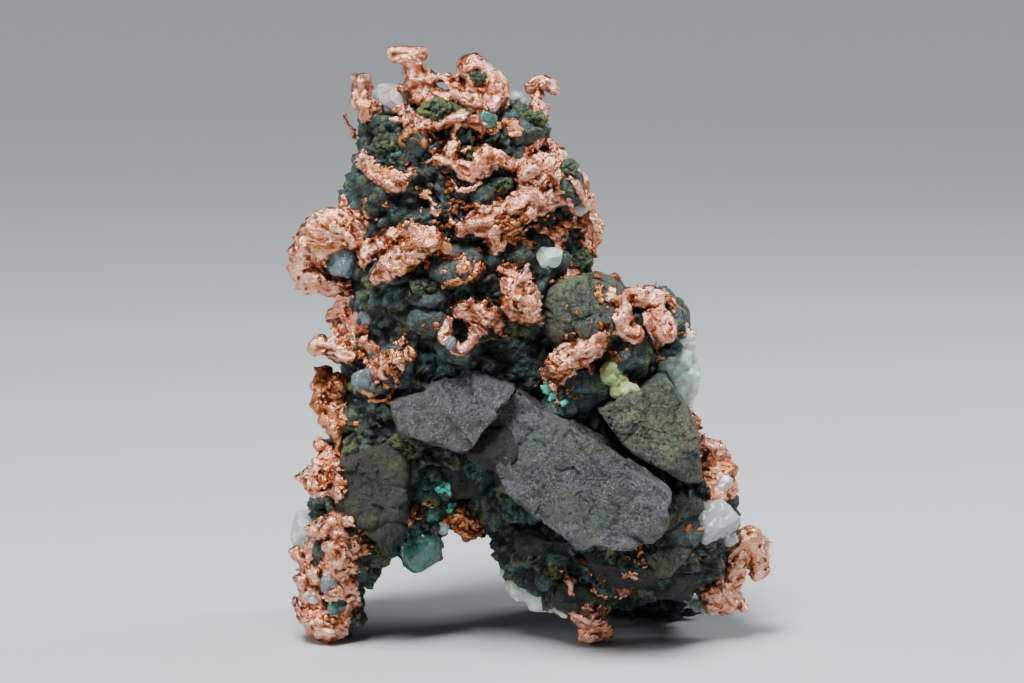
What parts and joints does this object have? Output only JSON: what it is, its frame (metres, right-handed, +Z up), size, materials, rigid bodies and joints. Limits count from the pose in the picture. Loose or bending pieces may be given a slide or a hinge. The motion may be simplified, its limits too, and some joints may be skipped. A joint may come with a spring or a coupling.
{
  "type": "native copper specimen in host rock",
  "caption": "Native copper grown through a broken basalt rock with clear crystals and prehnite, standing on a left leg and a broad right foot with an arch between.",
  "frame": {"origin": "middle of the footprint box, on the surface the specimen rests on", "axes": "+Z up along the tallest way, +X to the right as seen from the front, +Y from the front to the back, the shortest way"},
  "size_m": [0.048, 0.0304, 0.0596],
  "materials": {
    "basalt": "matt broken basalt blocks, grey violet to olive, in a dark green chlorite groundmass",
    "copper": "bright hackly native copper with orange brown tarnish in the hollows",
    "milky_crystal": "milky white to pale blue calcite, glassy faces",
    "green_crystal": "clear sea green crystal with a milky lower end",
    "prehnite": "waxy pale green prehnite in small rounded grains"
  },
  "bodies": {
    "root": {"host_rock": "basalt", "crown_copper": "copper", "hooked_sprig_copper": "copper", "upper_band_copper": "copper", "left_stripe_copper": "copper", "shoulder_mass_copper": "copper", "right_rim_copper": "copper", "left_arm_copper": "copper", "tongue_copper": "copper", "face_centre_copper": "copper", "face_ring_copper": "copper", "lower_face_copper": "copper", "right_shoulder_copper": "copper", "left_knob_copper": "copper", "left_edge_copper": "copper", "lower_left_knob_copper": "copper", "left_foot_copper": "copper", "arch_copper": "copper", "centre_foot_copper": "copper", "right_edge_copper": "copper", "right_tip_copper": "copper", "crown_crystal": "milky_crystal", "sprig_crystal": "milky_crystal", "arm_crystal": "milky_crystal", "foot_crystal": "milky_crystal", "right_low_crystal": "milky_crystal", "arch_crystal": "green_crystal", "prehnite_crust": "prehnite", "prehnite_vein": "prehnite", "cavity_crystal": "prehnite"}
  },
  "joints": []
}
